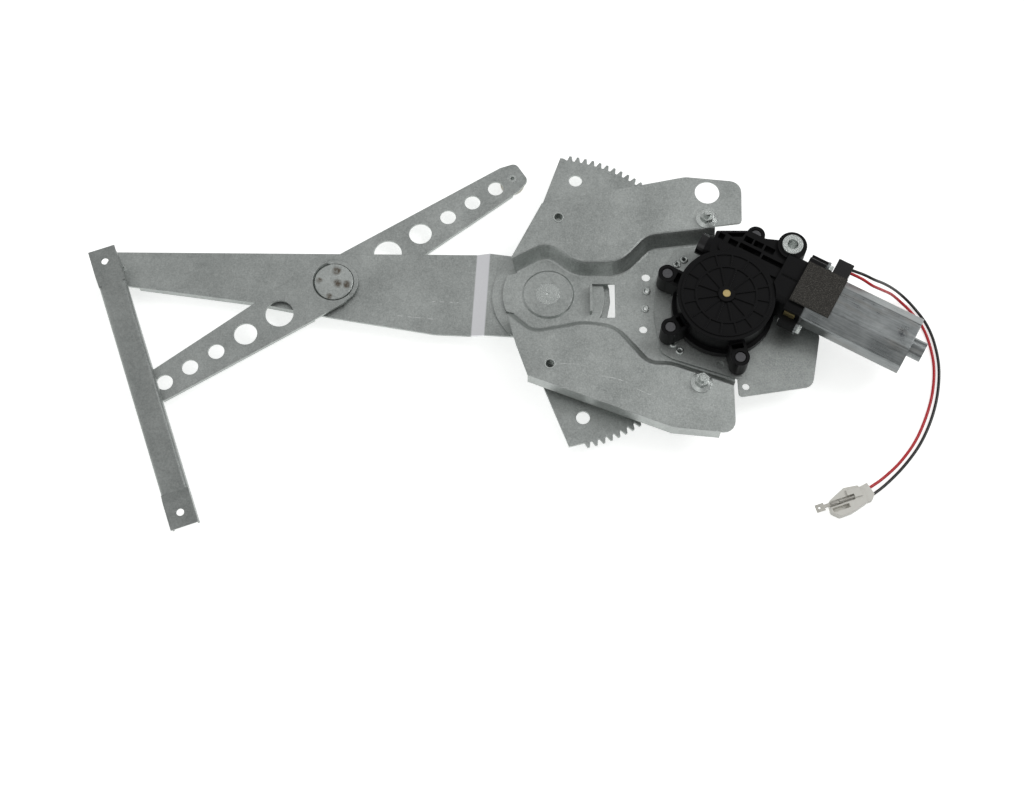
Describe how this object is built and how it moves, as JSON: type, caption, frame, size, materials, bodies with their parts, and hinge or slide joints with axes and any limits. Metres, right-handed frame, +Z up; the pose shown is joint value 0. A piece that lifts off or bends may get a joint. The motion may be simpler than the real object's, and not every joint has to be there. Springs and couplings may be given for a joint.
{
  "type": "window regulator",
  "caption": "Cross-arm power window regulator: gear motor, toothed sector, crossed lift and balance arms, base plate and guide rail.",
  "frame": {"origin": "on the table, under the middle of the box of the rigid parts", "axes": "+X along the regulator towards the motor, +Y away from the viewer, +Z up, out of the door panel side"},
  "size_m": [0.682, 0.3282, 0.0628],
  "materials": {
    "zinc_steel": "zinc plated, satin",
    "black_plastic": "glass filled, near black",
    "dark_screw": "black oxide",
    "natural_plastic": "natural acetal",
    "rubber": "matt",
    "foam": "open foam",
    "can_steel": "dull zinc",
    "brass": "dull",
    "gold_pin": "yellow passivated",
    "bronze": "sintered",
    "red_wire": "wire insulation",
    "black_wire": "wire insulation",
    "white_plastic": "off white",
    "tin": "tin plated",
    "ferrite": "dark grey ferrite",
    "carbon": "carbon",
    "copper": "copper",
    "washer_plastic": "black acetal",
    "gear_steel": "machined"
  },
  "bodies": {
    "base": {"base_plate": "zinc_steel", "motor_bracket": "zinc_steel", "bracket_rivets": "zinc_steel", "fixing_studs": "zinc_steel", "flange_nuts": "zinc_steel", "weld_nuts": "zinc_steel", "pivot_pin": "zinc_steel", "pivot_washer": "washer_plastic", "gearbox_housing": "black_plastic", "gearbox_cover": "black_plastic", "gearbox_screws": "dark_screw", "worm_end_cap": "black_plastic", "wheel_axle": "gold_pin", "through_bolt": "zinc_steel", "motor_can": "can_steel", "brush_carrier": "black_plastic", "brass_contacts": "brass", "motor_screws": "zinc_steel", "foam_pad": "foam", "lead_exit": "black_plastic", "motor_magnets": "ferrite", "motor_brushes": "carbon", "shaft_bearings": "bronze", "red_lead": "red_wire", "black_lead": "black_wire", "plug_housing": "white_plastic", "spade_terminals": "tin"},
    "gear": {"worm_wheel": "natural_plastic", "drive_damper": "rubber", "pinion": "gear_steel"},
    "armature": {"worm_shaft": "gear_steel", "armature_core": "dark_screw", "commutator": "copper"},
    "lift": {"lift_arm": "zinc_steel", "hub_plate": "zinc_steel", "sector_gear": "zinc_steel", "sector_rivets": "zinc_steel", "lift_arm_stud": "zinc_steel"},
    "balance": {"balance_arm_lower": "zinc_steel", "balance_arm_upper": "zinc_steel", "cross_hub": "zinc_steel", "balance_arm_stud": "zinc_steel", "guide_pin": "zinc_steel"},
    "shoe": {"slide_shoe": "natural_plastic"},
    "rail": {"guide_rail": "zinc_steel"},
    "lift_roller": {"lift_arm_roller": "natural_plastic"},
    "balance_roller": {"balance_arm_roller": "natural_plastic"}
  },
  "joints": [
    {"name": "lift_swing", "type": "hinge", "parent": "base", "child": "lift", "pos_m": [0.03637, 0.03562, 0.0143], "axis": [0, 0, 1], "range_deg": [-26, 57]},
    {"name": "gear_turn", "type": "hinge", "parent": "base", "child": "gear", "pos_m": [0.17464, 0.02133, 0.0323], "axis": [0, 0, 1], "range_deg": [-663.94, 302.85]},
    {"name": "motor_spin", "type": "hinge", "parent": "base", "child": "armature", "pos_m": [0.19184, 0.0525, 0.0423], "axis": [0.8755, -0.4833, 0], "range_deg": [-39836.16, 18170.88]},
    {"name": "balance_swing", "type": "hinge", "parent": "lift", "child": "balance", "pos_m": [-0.13612, 0.04889, 0.0143], "axis": [0, 0, 1], "range_deg": [-114.11, 52.05]},
    {"name": "rail_swivel", "type": "hinge", "parent": "balance", "child": "shoe", "pos_m": [-0.27988, -0.04734, 0.0263], "axis": [0, 0, 1], "range_deg": [-110, 110]},
    {"name": "rail_slide", "type": "slide", "parent": "shoe", "child": "rail", "axis": [0.3338, -0.9426, 0], "range_m": [-0.08, 0.08]},
    {"name": "lift_roller_turn", "type": "hinge", "parent": "lift", "child": "lift_roller", "pos_m": [-0.30861, 0.06217, 0.0033], "axis": [0, 0, 1], "continuous": true},
    {"name": "balance_roller_turn", "type": "hinge", "parent": "balance", "child": "balance_roller", "pos_m": [0.00764, 0.14513, 0.0033], "axis": [0, 0, 1], "continuous": true}
  ],
  "couplings": [
    {"joint": "gear_turn", "follows": "lift_swing", "ratio": -11.636},
    {"joint": "motor_spin", "follows": "lift_swing", "ratio": -698.18},
    {"joint": "balance_swing", "follows": "lift_swing", "ratio": -2}
  ]
}
